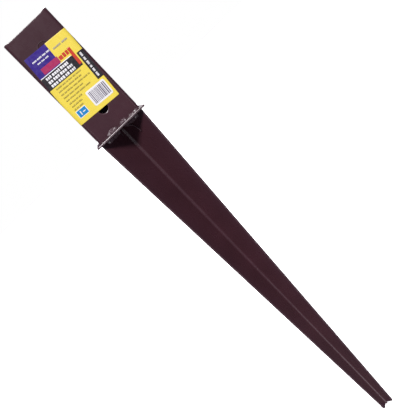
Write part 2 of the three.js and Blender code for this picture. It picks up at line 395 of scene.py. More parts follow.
def ring_about(axis, x, radius):
    """A ring round a line along X. x and radius are numbers, or functions of the angle."""
    ring = []
    for i in range(TURN_STEPS):
        angle = 2 * math.pi * i / TURN_STEPS
        along, out = (value(angle) if callable(value) else value for value in (x, radius))
        ring.append(Vector((along, axis.y + out * math.cos(angle), axis.z + out * math.sin(angle))))
    return ring


# ---- materials ----

# Places of the Mix node's colour sockets, which share their names with others.
MIX_COLOUR_A = 6
MIX_COLOUR_B = 7
MIX_COLOUR_OUT = 2


class Finish:
    """A node material: a Principled shader, its constants, and the procedural textures that feed it."""

    def __init__(self, name, **constants):
        self.material = bpy.data.materials.new(name)
        self.material.use_nodes = True
        self.nodes = self.material.node_tree.nodes
        self.links = self.material.node_tree.links
        self.shader = self.nodes["Principled BSDF"]
        for socket, value in constants.items():
            self.shader.inputs[socket.replace("_", " ")].default_value = value
        self.place = self.nodes.new("ShaderNodeTexCoord").outputs["Object"]
        self.normal = None

    def link(self, output, socket):
        self.links.new(output, socket)

    def noise(self, size, detail=3.0, roughness=0.55, stretch=None):
        """Noise whose features are about that size, in metres, optionally drawn out along an axis."""
        node = self.nodes.new("ShaderNodeTexNoise")
        node.inputs["Scale"].default_value = 1 / size
        node.inputs["Detail"].default_value = detail
        node.inputs["Roughness"].default_value = roughness
        place = self.place
        if stretch:
            mapping = self.nodes.new("ShaderNodeMapping")
            mapping.inputs["Scale"].default_value = stretch
            self.link(place, mapping.inputs["Vector"])
            place = mapping.outputs["Vector"]
        self.link(place, node.inputs["Vector"])
        return node.outputs["Fac"]

    def cells(self, size):
        node = self.nodes.new("ShaderNodeTexVoronoi")
        node.inputs["Scale"].default_value = 1 / size
        self.link(self.place, node.inputs["Vector"])
        return node.outputs["Distance"]

    def attribute(self, name):
        node = self.nodes.new("ShaderNodeAttribute")
        node.attribute_name = name
        return node.outputs["Fac"]

    def span(self, value, low, high, to_low=0.0, to_high=1.0):
        """A value's stretch from low to high, spread over another one and cut off at its ends."""
        node = self.nodes.new("ShaderNodeMapRange")
        ends = {"From Min": low, "From Max": high, "To Min": to_low, "To Max": to_high}
        for socket, number in ends.items():
            node.inputs[socket].default_value = number
        self.link(value, node.inputs["Value"])
        return node.outputs["Result"]

    def times(self, a, b):
        node = self.nodes.new("ShaderNodeMath")
        node.operation = "MULTIPLY"
        self.link(a, node.inputs[0])
        self.link(b, node.inputs[1])
        return node.outputs["Value"]

    def ramp(self, value, *stops):
        """Colours at positions along a value."""
        node = self.nodes.new("ShaderNodeValToRGB")
        ramp = node.color_ramp
        while len(ramp.elements) < len(stops):
            ramp.elements.new(0.5)
        for element, (position, colour) in zip(ramp.elements, stops):
            element.position = position
            element.color = (*colour, 1)
        self.link(value, node.inputs["Fac"])
        return node.outputs["Color"]

    def mix(self, factor, a, b):
        """Colour a where the factor is 0 and b where it is 1. Each is a socket or a plain colour."""
        node = self.nodes.new("ShaderNodeMix")
        node.data_type = "RGBA"
        self.link(factor, node.inputs["Factor"])
        for place, colour in ((MIX_COLOUR_A, a), (MIX_COLOUR_B, b)):
            if isinstance(colour, tuple):
                node.inputs[place].default_value = (*colour, 1)
            else:
                self.link(colour, node.inputs[place])
        return node.outputs[MIX_COLOUR_OUT]

    def colour(self, output):
        self.link(output, self.shader.inputs["Base Color"])

    def roughness(self, output):
        self.link(output, self.shader.inputs["Roughness"])

    def bump(self, height, depth, strength=1.0):
        """Relief of that depth, in metres, on top of any relief before it."""
        node = self.nodes.new("ShaderNodeBump")
        node.inputs["Strength"].default_value = strength
        node.inputs["Distance"].default_value = depth
        self.link(height, node.inputs["Height"])
        if self.normal:
            self.link(self.normal, node.inputs["Normal"])
        self.normal = node.outputs["Normal"]
        self.link(self.normal, self.shader.inputs["Normal"])


def tone(colour, factor):
    return tuple(c * factor for c in colour)


PAINT = (0.031, 0.0105, 0.0148)       # dark red-brown dip paint
WELD_PAINT_AND_HIGHLIGHT = (0.060, 0.036, 0.043)    # a thinner, greyer coat over each bead, made lighter still as a painted highlight for the beads' glints
PAINT_THIN = (0.075, 0.047, 0.055)    # where it has run thin over an edge
BARE_STEEL = (0.19, 0.17, 0.16)
BLUE_ZINC = (0.50, 0.53, 0.58)
PLAIN_ZINC = (0.62, 0.62, 0.61)
STRAW_ZINC = (0.66, 0.61, 0.48)
WORN_ZINC = (0.30, 0.29, 0.27)


def paint(name, colour, rough, relief):
    """Dip paint: slow changes of depth, orange peel, thin edges with a few chips down to the steel."""
    finish = Finish(name, Metallic=0.0, IOR=1.5)
    blotches = finish.noise(38 * MM, detail=4)
    darker, lighter, dusty = (tone(colour, factor) for factor in (0.88, 1.14, 1.9))
    base = finish.ramp(blotches, (0.3, darker), (0.52, colour), (0.75, lighter))
    specks = finish.span(finish.noise(0.9 * MM, detail=2), 0.66, 0.8, 0, 0.35)
    base = finish.mix(specks, base, dusty)
    edges = finish.attribute("wear")
    thin = finish.times(edges, finish.span(finish.noise(5 * MM), 0.35, 0.65, 0.25, 0.85))
    base = finish.mix(thin, base, PAINT_THIN)
    outermost = finish.span(edges, 0.75, 1.0)
    chips = finish.times(outermost, finish.span(finish.noise(1.7 * MM, detail=5), 0.69, 0.72))
    finish.colour(finish.mix(chips, base, BARE_STEEL))
    gloss = finish.noise(6 * MM, detail=5)
    finish.roughness(finish.span(gloss, 0.3, 0.7, rough - 0.02, rough + 0.025))
    finish.bump(finish.noise(9 * MM, detail=2), relief * 2.5, 0.5)
    finish.bump(finish.noise(1.1 * MM, detail=2), relief, 0.6)
    return finish.material


def zinc(name, rough):
    """Bright zinc plate: a fine crystalline grain, with straw and blue tints from its passivation."""
    finish = Finish(name, Metallic=1.0)
    tints = finish.noise(5 * MM)
    base = finish.ramp(tints, (0.3, BLUE_ZINC), (0.5, PLAIN_ZINC), (0.72, STRAW_ZINC))
    dull = finish.span(finish.noise(1.2 * MM, detail=6), 0.55, 0.75, 0, 0.6)
    finish.colour(finish.mix(dull, base, WORN_ZINC))
    gloss = finish.noise(2.2 * MM, detail=4)
    finish.roughness(finish.span(gloss, 0.3, 0.7, rough - 0.08, rough + 0.12))
    finish.bump(finish.cells(0.35 * MM), 0.01 * MM, 0.5)
    finish.bump(finish.noise(0.25 * MM, stretch=(1, 6, 6)), 0.008 * MM, 0.5)
    return finish.material


def ink(name, colour, rough=0.34):
    """Gloss vinyl with a printed colour: a fine dot screen, slight mottling and scuffs."""
    finish = Finish(name, Metallic=0.0, IOR=1.48)
    mottled = finish.noise(7 * MM, detail=4)
    base = finish.ramp(mottled, (0.3, tone(colour, 0.93)), (0.7, colour))
    dots = finish.span(finish.cells(0.4 * MM), 0.15, 0.5, 0, 0.16)
    finish.colour(finish.mix(dots, base, tone(colour, 0.8)))
    gloss = finish.noise(3 * MM, detail=5)
    finish.roughness(finish.span(gloss, 0.3, 0.75, rough - 0.06, rough + 0.1))
    finish.bump(finish.noise(6 * MM, detail=2), 0.05 * MM, 0.35)
    finish.bump(finish.noise(0.3 * MM, detail=2), 0.006 * MM, 0.5)
    return finish.material


sheet_paint = paint("sheet_paint", PAINT, rough=0.275, relief=0.012 * MM)
# The beads' paint is lighter and greyer than the sheets': partly a thinner coat, partly a painted
# highlight for their glints.
weld_paint_and_highlight = paint("weld_paint_and_highlight", WELD_PAINT_AND_HIGHLIGHT, rough=0.30, relief=0.010 * MM)
bolt_zinc = zinc("bolt_zinc", rough=0.34)
nut_zinc = zinc("nut_zinc", rough=0.3)

INKS = {
    "yellow": (0.57, 0.45, 0.052),
    "blue": (0.019, 0.004, 0.142),
    "magenta": (0.26, 0.0115, 0.069),
    "red": (0.38, 0.025, 0.010),
    "black": (0.010, 0.008, 0.011),
    "white": (0.57, 0.56, 0.57),
    "olive": (0.26, 0.20, 0.035),
    "grey": (0.24, 0.22, 0.19),
    "violet": (0.115, 0.10, 0.135),
    "teal": (0.006, 0.15, 0.36),
}
inks = {name: ink(f"vinyl_{name}", colour) for name, colour in INKS.items()}


# ---- socket ----

# The right wall runs straight on as one clamp ear. The rear wall ends in a fold that makes the other.
corner_bend = SLEEVE_BEND * QUARTER
SLEEVE_RIGHT = [
    (wall - SLEEVE_BEND, 0),
    (corner_bend, QUARTER),
    (sleeve_high.y + wall - SLEEVE_BEND, 0),
]
SLEEVE_LEFT = [
    (wall - SLEEVE_BEND, 0),
    (corner_bend, QUARTER),
    (2 * (wall - SLEEVE_BEND), 0),
    (corner_bend, QUARTER),
    (nut_ear + wall - 2 * SLEEVE_BEND, 0),
    (corner_bend, -QUARTER),
    (sleeve_high.y - wall - SLEEVE_BEND, 0),
]
on_sleeve = folded((0, -wall), SLEEVE_RIGHT, SLEEVE_LEFT)
front_fold = wall - SLEEVE_BEND + corner_bend / 2    # how far along u the front wall's folds lie
LIFT_TICKS = (-2, -1.4, -0.9, 0.9, 1.4, 2)           # where the lift needs points, in its reaches


def lifted(u, z, h):
    """On the sleeve, with its top edge drawn up a little at the end of each fold of the front wall."""
    near_fold = math.exp(-((abs(u) - front_fold) / LIFT_REACH) ** 2)
    near_top = max(0.0, z / socket_top) ** LIFT_FADE
    return on_sleeve(u, z + TOP_CORNER_LIFT * near_fold * near_top, h)


def socket_sleeve():
    left_end, right_end = -run_length(SLEEVE_LEFT), run_length(SLEEVE_RIGHT)
    corners = [(left_end, 0), (right_end, 0), (right_end, socket_top), (left_end, socket_top)]
    outline = loop(corners, EAR_CORNER)
    levels = (FIXING_HOLE_INSET, socket_top - FIXING_HOLE_INSET)
    holes = [circle((0, z), FIXING_HOLE_RADIUS) for z in levels]
    for axis in bolt_axes.values():
        inset = sleeve_high.y - axis.y
        holes.append(square_hole((right_end - inset, axis.z), NECK_HOLE_SIDE, NECK_HOLE_CORNER))
        holes.append(circle((left_end + inset, axis.z), CLEARANCE_HOLE_RADIUS))
    spread = [front_fold + away * LIFT_REACH for away in LIFT_TICKS]
    spread += [-u for u in spread]
    ticks = sorted(fold_ticks(SLEEVE_RIGHT, SLEEVE_LEFT) + spread)
    mesh, wear = punched_sheet(outline, holes, lifted, ticks)
    piece = finished("socket_sleeve", mesh, "anchor", sheet_paint, wear)
    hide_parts("socket_sleeve")
    keep_flats_flat(piece)


def base_plate():
    thickness = plate_high.z - plate_low.z
    level = (plate_high.z + plate_low.z) / 2

    def place(x, y, h):
        return Vector((x, y, level + h))

    outline = loop(square(plate_high.x), PLATE_CORNER)
    mesh, wear = punched_sheet(outline, [], place, thickness=thickness, rim=PLATE_RIM)
    piece = finished("base_plate", mesh, "anchor", sheet_paint, wear)
    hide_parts("base_plate")
    keep_flats_flat(piece)


# ---- spike ----

# Half of each fold, and a flat longer than any fin.
HALF_BLADE = [(BLADE_BEND * QUARTER / 2, -QUARTER / 2), (2 * blade_high.x, 0)]
on_front_blade = folded((0, -SHEET / 2), HALF_BLADE, HALF_BLADE)


def on_rear_blade(u, z, h):
    place = on_front_blade(u, z, h)
    return Vector((-place.x, -place.y, place.z))


def reach_along(half_width):
    """The distance u at which a fin is that far from the middle, seen from the front."""
    arc = BLADE_BEND * QUARTER / 2
    return arc + (half_width - BLADE_BEND * math.sin(QUARTER / 2)) * math.sqrt(2)


def spike_blade(node, place):
    low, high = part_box(node)
    tip = max(abs(v.co.x) for v in frame["nodes"][node].data.vertices if v.co.z < low.z + MM)
    top_u, tip_u = reach_along(high.x), reach_along(tip)
    corners = [(-tip_u, low.z), (tip_u, low.z), (top_u, plate_low.z), (-top_u, plate_low.z)]
    outline = loop(corners, BLADE_CORNER)
    mesh, wear = punched_sheet(outline, [], place, fold_ticks(HALF_BLADE, HALF_BLADE))
    piece = finished(node, mesh, "anchor", sheet_paint, wear)
    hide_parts(node)
    keep_flats_flat(piece)


# ---- welds ----

RING_PITCH = 0.3 * MM
FEWEST_RINGS = 8
PATH_STEPS = 20                   # chords that a path is measured by
BEAD_STEPS = 12
SINK = 0.25 * MM                  # how far a bead's foot is buried in what it joins
RIPPLE_PITCH = 1.7 * MM
RIPPLE_DEPTH = 0.035              # of the bead's size
RIPPLE_LEVEL = 0.6                # mean height of a ripple, which leaves the bead's size as it is
RIPPLE_BOW = 0.8 * MM             # how far a ripple's middle lags behind its ends
FINE_LUMPS = 2.7                  # how much closer together the finer lumps are
SEED_STRIDE = 7.3                 # how far apart two seeds' lumps lie in the noise
FINE_SEED_STRIDE = 3.1
BEAD_WEAR = 0.35
SIDE_BEAD_SHARE = 0.8             # the side beads fill that much of their CAD size
SPINE_BEAD_SHARE = 0.9
SPINE_BEAD_DEPTH = 0.3 * SHEET    # how far out in the groove a spine bead's corner lies
SPINE_BEADS = 4                   # along each side


def bead(path, leg_a, leg_b, size, seed, lumps=0.3, swell=4 * MM):
    """A weld bead in a corner, rippled across its run and lumpy along it.

    path gives the corner at t from 0 to 1, and the legs point along the two faces that meet there."""
    marks = [path(i / PATH_STEPS) for i in range(PATH_STEPS + 1)]
    length = sum((b - a).length for a, b in zip(marks, marks[1:]))
    count = max(FEWEST_RINGS, round(length / RING_PITCH))
    foot = (leg_a + leg_b) * SINK
    rings = []
    for i in range(1, count):
        t = i / count
        run = length * t
        from_end = min(1.0, min(run, length - run) / size)
        rounding = math.sqrt(1 - (1 - from_end) ** 2)
        corner = path(t) - foot
        ring = [corner.copy()]
        for k in range(BEAD_STEPS + 1):
            angle = QUARTER * k / BEAD_STEPS
            bowed = run - RIPPLE_BOW * math.sin(2 * angle)
            ripple = abs(math.sin(math.pi * bowed / RIPPLE_PITCH)) - RIPPLE_LEVEL
            at = run / swell
            lump = noise.noise(Vector((at, angle, seed * SEED_STRIDE)))
            fine = noise.noise(Vector((at * FINE_LUMPS, angle * 2, seed * FINE_SEED_STRIDE)))
            bumpy = 1 + RIPPLE_DEPTH * ripple + lumps * (lump + fine / 2)
            radius = size * rounding * bumpy + SINK
            out = leg_a * radius * math.cos(angle) + leg_b * radius * math.sin(angle)
            ring.append(corner + out)
        rings.append(ring)
    return skin(rings, path(0) - foot, path(1) - foot)


def straight(start, end):
    return lambda t: start.lerp(end, t)


def weld(node, *shells):
    mesh = joined(*shells)
    wear = [BEAD_WEAR] * len(mesh[0])
    # Each bead takes the weld paint, whose lighter, greyer colour is partly a painted highlight.
    piece = finished(node, mesh, "anchor", weld_paint_and_highlight, wear)
    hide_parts(node)


def front_and_side_welds():
    for seed, place in enumerate(("left", "middle", "right"), 1):
        node = f"front_weld_{place}"
        low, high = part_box(node)
        size = high.z - plate_high.z
        start = Vector((low.x, -wall_face, plate_high.z))
        end = Vector((high.x, -wall_face, plate_high.z))
        weld(node, bead(straight(start, end), Z, -Y, size, seed, lumps=0.5, swell=6 * MM))
    for side, node in ((-X, "left_side_weld"), (X, "right_side_weld")):
        low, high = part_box(node)
        size = SIDE_BEAD_SHARE * (high.z - plate_high.z)
        start = side * wall_face + Y * low.y + Z * plate_high.z
        end = side * wall_face + Y * high.y + Z * plate_high.z
        weld(node, bead(straight(start, end), Z, side, size, seed=5 + side.x))


# The runs of weld that trail off across the front fins: start and end, each as how far out from the
# spike's middle and how far below the plate, and then the run's size.
TRAILS = {
    "front_left": ((1.5 * MM, -0.5 * MM), (4.6 * MM, 8 * MM), 1.0 * MM),
    "front_right": ((5.5 * MM, 3 * MM), (13 * MM, 16 * MM), 1.3 * MM),
}


def blade_welds():
    """Beads under the plate, along both fins of each blade, and the runs that trail off from them."""
    inner_corner = abs(on_front_blade(0, 0, SHEET / 2).y)
    for seed, (end, forward) in enumerate((("front", -Y), ("rear", Y))):
        for side_name, outward in (("left", -X), ("right", X)):
            place = f"{end}_{side_name}"
            node = f"blade_weld_{place}"
            low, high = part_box(node)
            fin = (outward + forward).normalized()
            into_fold = (forward - outward).normalized()
            root = forward * inner_corner + Z * plate_low.z
            nearest, furthest = sorted((abs(low.x), abs(high.x)))
            path = straight(*(root + fin * reach * math.sqrt(2) for reach in (nearest, furthest)))
            size = plate_low.z - low.z
            shells = [bead(path, -Z, into_fold, size, seed=11 + 2 * seed + outward.x)]
            if place in TRAILS:
                shells.append(trail_bead(root, fin, into_fold, *TRAILS[place]))
            weld(node, *shells)


def trail_bead(root, fin, off_fin, start, end, size):
    """A thin run of weld that leaves the joint and droops across a fin."""
    def path(t):
        across = (start[0] + (end[0] - start[0]) * math.sin(QUARTER * t)) * math.sqrt(2)
        down = start[1] + (end[1] - start[1]) * (1 - math.cos(QUARTER * t))
        return root + fin * across - Z * down

    legs = ((off_fin - Z).normalized(), (off_fin + Z).normalized())
    return bead(path, *legs, size, seed=21)


def spine_welds():
    for sign, side in ((-1, "left"), (1, "right")):
        legs = [Vector((sign, end, 0)).normalized() for end in (-1, 1)]
        groove = X * sign * (BLADE_BEND * (1 - math.cos(QUARTER / 2)) + SPINE_BEAD_DEPTH)
        for i in range(1, SPINE_BEADS + 1):
            node = f"spine_weld_{side}_{i}"
            low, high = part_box(node)
            size = (high.x - low.x) * SPINE_BEAD_SHARE
            path = straight(groove + Z * low.z, groove + Z * high.z)
            weld(node, bead(path, *legs, size, seed=30 + 5 * sign + i))


TIP_RINGS = 14
TIP_POINTS = 24                   # around each ring
TIP_LUMPS = 0.28
TIP_SWELL = 1.3
TIP_ROOT = 2 * MM                 # how far the blob reaches up between the blades
TIP_ROOT_SHARE = 0.8              # of its width that it still has there


def tip_weld():
    """A lumpy blob that closes the tip, rounded below and sunk between the blades above."""
    low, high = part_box("tip_weld")
    depth = high.z - low.z
    rings = []
    for step in range(1, TIP_RINGS + 1):
        angle = QUARTER * step / TIP_RINGS
        level = high.z - depth * math.cos(angle)
        ring = []
        for i in range(TIP_POINTS):
            around = 2 * math.pi * i / TIP_POINTS
            c, s = math.cos(around), math.sin(around)
            lump = 1 + TIP_LUMPS * noise.noise(Vector((c, s, 2 * angle)) * TIP_SWELL)
            out = high.x * math.sin(angle) * lump
            ring.append(Vector((out * c, out * s, level)))
        rings.append(ring)
    top = high.z + TIP_ROOT
    rings.append([Vector((p.x * TIP_ROOT_SHARE, p.y * TIP_ROOT_SHARE, top)) for p in rings[-1]])
    weld("tip_weld", skin(rings, Vector((0, 0, low.z)), Vector((0, 0, top))))


# ---- fasteners ----

SQUARENESS = 10                   # power of the curve that rounds a square's corners
CORNER_CUT = 6                    # power that keeps the extra rounding to the corners

HEAD_RIM = 0.45 * MM              # height of the coach bolt's head at its edge
DOME_STEPS = 16
NECK_HALF = 4 * MM
NECK_ROUNDING = 0.03
NECK_LENGTH = 4.5 * MM
NECK_RUNOUT = 1.2 * MM            # from the square neck to the first of the thread
SHANK_RADIUS = 3.55 * MM          # the radius that the thread is rolled from
FADE_TURNS = 2                    # turns in which the thread comes up to its full height
BOLT_CHAMFER = 1.1 * MM
CHAMFER_STEPS = 6
BOLT_END_RADIUS = 2.9 * MM

WASHER_HOLE_RIM = 0.2 * MM
WASHER_WEAR_REACH = 0.5 * MM

NUT_CORNER_SHARE = 0.985          # of the CAD corner's radius that the slightly rounded one keeps
NUT_FACE_SHARE = 0.93             # the bearing face's radius, in the hexagon's inner one
NUT_FACE_EASE = 0.1 * MM          # half the width of the rounding between face and chamfer
NUT_FACE_DROP = 0.03 * MM         # and its height
NUT_CHAMFER = math.radians(28)
NUT_MOUTH = 0.25 * MM             # how much wider than its thread the nut's mouth is
NUT_COUNTERSINK = 0.45 * MM       # how deep in from either face the thread begins


def thread(x, root, crest):
    """Radius at each angle of a right-hand thread, at a place along its axis."""
    def radius_at(angle):
        phase = (x / THREAD_PITCH - angle / (2 * math.pi)) % 1.0
        from_crest = (abs(phase - 0.5) * 2 - THREAD_FLAT) / (1 - 2 * THREAD_FLAT)
        return crest + (root - crest) * min(1.0, max(0.0, from_crest))
    return radius_at


def rounded_square(half, corner):
    """Radius at each angle of a square with rounded corners."""
    def radius_at(angle):
        c, s = abs(math.cos(angle)), abs(math.sin(angle))
        radius = half / (c ** SQUARENESS + s ** SQUARENESS) ** (1 / SQUARENESS)
        return radius * (1 - corner * (2 * c * s) ** CORNER_CUT)
    return radius_at


def coach_bolt(level):
    """A cup-head square-neck bolt. Its head bears on the right wall, and it points along -X."""
    node = f"{level}_clamp_bolt"
    low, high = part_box(node)
    axis = bolt_axes[level]
    seat = wall_face
    head_radius = (high.z - low.z) / 2
    head_height = high.x - seat - CAD_GAP
    neck_end = seat - NECK_LENGTH
    thread_start = neck_end - NECK_RUNOUT
    crown = (head_radius ** 2 + head_height ** 2) / (2 * head_height)
    rings = []

    def add(x, radius):
        rings.append(ring_about(axis, x, radius))

    for step in range(1, DOME_STEPS + 1):
        radius = head_radius * step / DOME_STEPS
        rise = head_height - (crown - math.sqrt(crown ** 2 - radius ** 2))
        add(seat + max(rise, HEAD_RIM), radius)
    add(seat + HEAD_RIM / 3, head_radius)
    add(seat, head_radius - HEAD_RIM / 2)
    neck = rounded_square(NECK_HALF, NECK_ROUNDING)
    add(seat, neck)
    add(neck_end, neck)
    add((neck_end + thread_start) / 2, SHANK_RADIUS)
    length = thread_start - low.x - BOLT_CHAMFER
    for i in range(round(length / THREAD_PITCH * THREAD_STEPS) + 1):
        x = thread_start - i * THREAD_PITCH / THREAD_STEPS
        fade = min(1.0, i / (FADE_TURNS * THREAD_STEPS))
        root = SHANK_RADIUS + (THREAD_ROOT - SHANK_RADIUS) * fade
        crest = SHANK_RADIUS + (THREAD_CREST - SHANK_RADIUS) * fade
        add(x, thread(x, root, crest))
    for i in range(1, CHAMFER_STEPS + 1):
        x = low.x + BOLT_CHAMFER * (1 - i / CHAMFER_STEPS)
        limit = THREAD_CREST - (THREAD_CREST - BOLT_END_RADIUS) * i / CHAMFER_STEPS
        cut = thread(x, THREAD_ROOT, THREAD_CREST)
        add(x, lambda angle: min(cut(angle), limit))
    top = Vector((seat + head_height, axis.y, axis.z))
    end = Vector((low.x, axis.y, axis.z))
    piece = finished(node, skin(rings, top, end), "anchor", bolt_zinc)
    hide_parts(node)
    crisp(piece)


def flat_washer(level):
    node = f"{level}_washer"
    low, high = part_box(node)
    axis = bolt_axes[level]
    edge = circle((0, 0), (high.z - low.z) / 2)
    mesh, wear = punched_sheet(
        lambda inset: edge(-inset),
        [circle((0, 0), NUT_ROOT)],
        lambda u, v, h: Vector((axis.x + h, axis.y + u, axis.z + v)),
        thickness=high.x - low.x,
        hole_rim=WASHER_HOLE_RIM,
        reach=WASHER_WEAR_REACH,
    )
    piece = finished(node, mesh, f"{level}_washer_ride", nut_zinc, wear)
    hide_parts(node)
    keep_flats_flat(piece)


def hex_nut(level):
    node = f"{level}_nut"
    low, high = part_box(node)
    axis = bolt_axes[level]
    spokes = [(v.co.y - axis.y, v.co.z - axis.z) for v in frame["nodes"][node].data.vertices]
    corner_radius, corner_angle = max((math.hypot(y, z), math.atan2(z, y)) for y, z in spokes)
    flat = corner_radius * math.cos(math.pi / 6)
    face = flat * NUT_FACE_SHARE
    mouth = NUT_ROOT + NUT_MOUTH

    def side(angle):
        """Distance to the hexagon's side, its corners slightly rounded."""
        off = (angle - corner_angle) % (math.pi / 3) - math.pi / 6
        return min(flat / math.cos(off), corner_radius * NUT_CORNER_SHARE)

    def turned_down(angle):
        return (side(angle) - face) * math.tan(NUT_CHAMFER)

    def half(end, inwards):
        """The rings from the mouth at one end out to the hexagon. inwards is +1 or -1 along X."""
        return [
            ring_about(axis, end, mouth),
            ring_about(axis, end, face - NUT_FACE_EASE),
            ring_about(axis, end + inwards * NUT_FACE_DROP, face + NUT_FACE_EASE),
            ring_about(axis, lambda angle: end + inwards * turned_down(angle), side),
        ]

    rings = half(low.x, 1) + half(high.x, -1)[::-1]
    length = high.x - low.x - 2 * NUT_COUNTERSINK
    for i in range(round(length / THREAD_PITCH * THREAD_STEPS) + 1):
        x = high.x - NUT_COUNTERSINK - i * THREAD_PITCH / THREAD_STEPS
        rings.append(ring_about(axis, x, thread(x, NUT_ROOT, NUT_CREST)))
    piece = finished(node, skin(rings, ring_shaped=True), node, nut_zinc)
    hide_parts(node)
    crisp(piece)


# ---- label ----

LABEL_WIDTH = 50 * MM
LABEL_HEIGHT = 80 * MM
LABEL_TURN = math.radians(4)      # it was stuck on a little askew
VINYL = 0.16 * MM
GLUE = 0.02 * MM
INK_GAP = 0.004 * MM              # between the vinyl and the first ink
INK_LAYER = 0.02 * MM             # from one layer of ink to the next
INK_THICKNESS = 0.8 * INK_LAYER
LABEL_CELL = 0.75 * MM            # fine enough to follow the socket's folds
CORNER_STEPS = 4
label_centre = middle_of("product_label")


def on_label(a, b, lift):
    """A point of the label, a to the right and b up from its middle, laid on the socket's front."""
    u = label_centre.x + a * math.cos(LABEL_TURN) + b * math.sin(LABEL_TURN)
    z = label_centre.z - a * math.sin(LABEL_TURN) + b * math.cos(LABEL_TURN)
    return on_sleeve(u, z, SHEET / 2 + GLUE + lift)


def patch(left, right, bottom, top, floor, height, corner=0.0):
    """A thin closed slab on the label, as a grid fine enough to bend with it."""
    columns = max(1, math.ceil((right - left) / LABEL_CELL))
    arcs = [QUARTER * i / CORNER_STEPS for i in range(CORNER_STEPS + 1)] if corner else [0.0]
    ends = [(corner * (1 - math.sin(a)), corner * (1 - math.cos(a))) for a in arcs]
    straight_rows = max(1, math.ceil((top - bottom - 2 * corner) / LABEL_CELL))
    step = (top - bottom - 2 * corner) / straight_rows
    levels = [(bottom + inset, narrower) for inset, narrower in reversed(ends)]
    levels += [(bottom + corner + step * i, 0.0) for i in range(1, straight_rows)]
    levels += [(top - inset, narrower) for inset, narrower in ends]
    rows = len(levels)
    verts = []
    for lift in (floor + height, floor):
        for b, narrower in levels:
            begin = left + narrower
            width = right - left - 2 * narrower
            verts += [on_label(begin + width * i / columns, b, lift) for i in range(columns + 1)]
    wide = columns + 1
    under = wide * rows
    faces = []
    for r in range(rows - 1):
        for c in range(columns):
            a = r * wide + c
            faces.append((a, a + 1, a + wide + 1, a + wide))
            faces.append((under + a + wide, under + a + wide + 1, under + a + 1, under + a))
    border = list(range(columns))
    border += [r * wide + columns for r in range(rows - 1)]
    border += [(rows - 1) * wide + c for c in range(columns, 0, -1)]
    border += [r * wide for r in range(rows - 1, 0, -1)]
    for a, b in zip(border, border[1:] + border[:1]):
        faces.append((b, a, under + a, under + b))
    return verts, faces


# Plain blocks and bars stand in for the label's print. Block sizes are in heights of their line.
BLOCK_WIDTHS = (0.55, 0.85)
BLOCK_TOPS = (0.34, 0.5)          # above the line's middle
BLOCK_GAP = 0.15
SHORTEST_BLOCK = 0.3
BAR_WIDTHS = (0.5, 1.3)           # mm
BAR_GAPS = (0.4, 0.9)
LABEL_SEED = 4


def words(left, right, level, height, dice, widths, gap):
    """A row of plain blocks in groups of different lengths."""
    row = []
    at = left
    while at < right - widths[0] / 2:
        group_end = min(at + dice.uniform(*widths), right)
        while at < group_end - SHORTEST_BLOCK * height:
            width = min(dice.uniform(*BLOCK_WIDTHS) * height, group_end - at)
            top = level + height * dice.uniform(*BLOCK_TOPS)
            row.append((at, at + width, level - height / 2, top))
            at += width + BLOCK_GAP * height
        at += gap
    return row


def bars(left, right, bottom, top, dice):
    """Upright bars of different widths."""
    row = []
    at = left
    while at < right:
        width = dice.uniform(*BAR_WIDTHS) * MM
        row.append((at, min(at + width, right), bottom, top))
        at += width + dice.uniform(*BAR_GAPS) * MM
    return row


def mm(*numbers):
    return [n * MM for n in numbers]


def box(left, right, bottom, top):
    return [mm(left, right, bottom, top)]


def label_layout():
    """What is printed where: (ink, layer, corner radius, boxes) each, measured from the label's middle.

    All numbers here are in mm, and the boxes that they give are in metres."""
    dice = random.Random(LABEL_SEED)
    half_width, half_height = LABEL_WIDTH / 2 / MM, LABEL_HEIGHT / 2 / MM

    def text(left, right, level, height, lengths, gap):
        return words(*mm(left, right, level, height), dice, mm(*lengths), gap * MM)

    heading = [block for level, end in ((13.6, 7.2), (9.6, 9.4), (5.6, 12.0))
               for block in text(-20.8, end, level, 3.0, (5, 10), 0.8)]
    small = [block for i, end in enumerate((11.0, 8.6, 16.0, 6.4, 11.2))
             for block in text(-19.6, end, 0.8 - 3.6 * i, 1.6, (3, 7), 0.6)]
    notes = [block for i, end in enumerate((-3.0, -4.6, -7.4))
             for block in text(-19.0, end, -17.4 - 3.7 * i, 1.7, (2, 5), 0.5)]
    slogan = text(-20.6, 0.0, 33.0, 1.7, (3.5, 6), 0.8) + text(-17.4, -3.6, 29.3, 1.5, (3, 5), 0.8)
    side_words = [(*mm(20.2, 22.4), low, high)
                  for low, high, *_ in text(-14.2, 14.0, 0, 1, (2, 5), 1.2)]
    return [
        ("blue", 1, 0, box(-half_width, 0.4, 16.6, half_height)),
        ("white", 2, 0, slogan),
        ("grey", 1, 0, text(3.6, 22.4, 31.4, 2.0, (6, 10), 1.2)),
        ("magenta", 2, 0, box(-18.6, 1.6, 17.9, 24.4)),
        ("red", 1, 0.3, text(2.2, 13.2, 21.2, 4.6, (11, 12), 0.7)),
        ("white", 3, 0, box(-24.6, 12.4, 16.2, 17.0)),
        ("black", 1, 0, box(-half_width, 16.4, 3.2, 16.2)),
        ("white", 2, 0, heading),
        ("red", 3, 0, box(13.6, 16.8, 5.0, 24.0)),
        ("black", 1, 0, box(18.2, half_width, -16.6, 15.2)),
        ("white", 2, 0, side_words),
        ("olive", 1, 0, small),
        ("olive", 1, 0, notes),
        ("white", 1, 1.5, box(-0.4, 22.4, -35.2, -18.4)),
        ("violet", 2, 0, bars(*mm(1.6, 20.8, -33.4, -20.2), dice)),
        ("white", 1, 0.6, box(-19.9, -8.2, -34.9, -26.7)),
        ("teal", 2, 0.4, box(-19.3, -8.8, -34.3, -27.3)),
        ("white", 3, 0.5, box(-16.4, -15.2, -33.0, -28.6)),
        ("white", 3, 0.2, box(-13.6, -10.4, -31.4, -30.5)),
    ]


